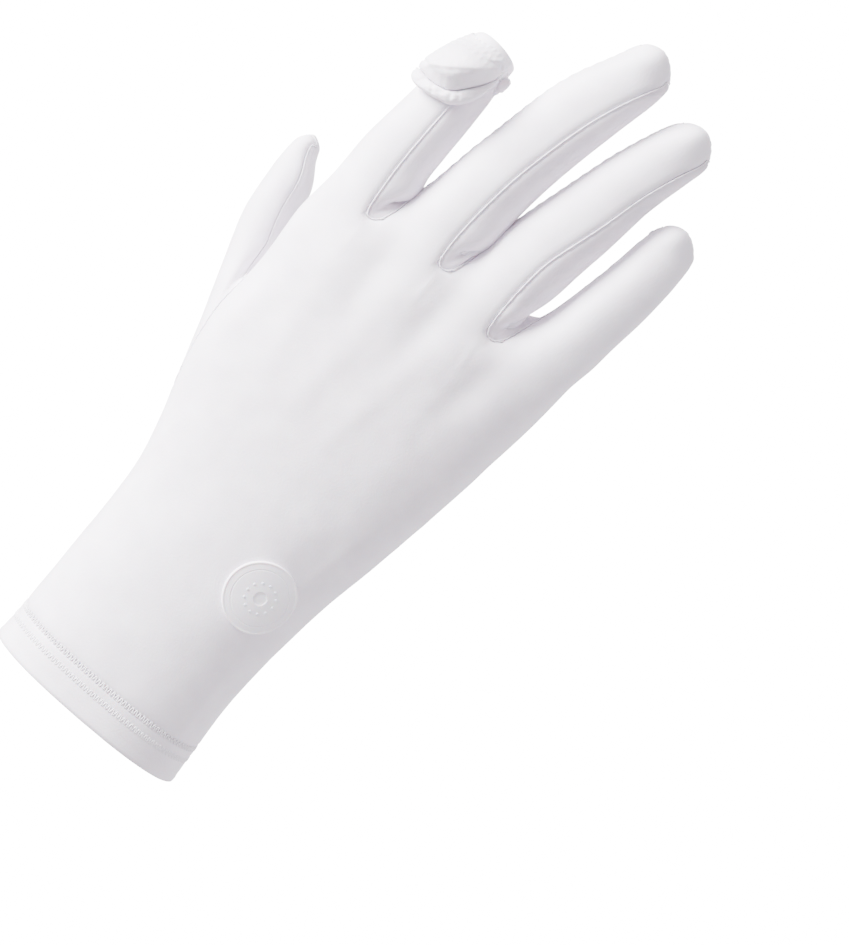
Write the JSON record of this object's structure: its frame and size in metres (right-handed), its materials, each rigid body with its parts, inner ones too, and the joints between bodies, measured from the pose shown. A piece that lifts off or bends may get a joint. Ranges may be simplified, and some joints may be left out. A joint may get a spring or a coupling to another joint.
{
  "type": "fingered sun glove",
  "caption": "Right-hand sun glove of thin stretch jersey with an open palm, slip-out index fingertip and a small rubber badge, shown as a hand fills it.",
  "frame": {"origin": "centre of the wrist opening, in the plane of the cuff hem's lower edge", "axes": "+Z from the cuff to the fingertips, the back of the hand faces -Y and the palm +Y, the thumb lies on the -X side and the little finger on the +X side"},
  "size_m": [0.1003, 0.0519, 0.2282],
  "materials": {
    "jersey": "fine cool-white stretch jersey, matt with a faint satin sheen",
    "fourchette_jersey": "the same fine jersey between the fingers, a touch greyer",
    "badge_rubber": "moulded white silicone rubber, satin"
  },
  "bodies": {
    "root": {"back_panel": "jersey", "finger_palm_panel": "jersey", "lower_palm_panel": "jersey", "thumb_back": "jersey", "thumb_front": "jersey", "cuff_hem": "jersey", "index_tip_rim": "jersey", "index_tip_hood": "jersey", "fourchette_index_middle": "fourchette_jersey", "fourchette_middle_ring": "fourchette_jersey", "fourchette_ring_little": "fourchette_jersey", "badge": "badge_rubber"}
  },
  "joints": []
}
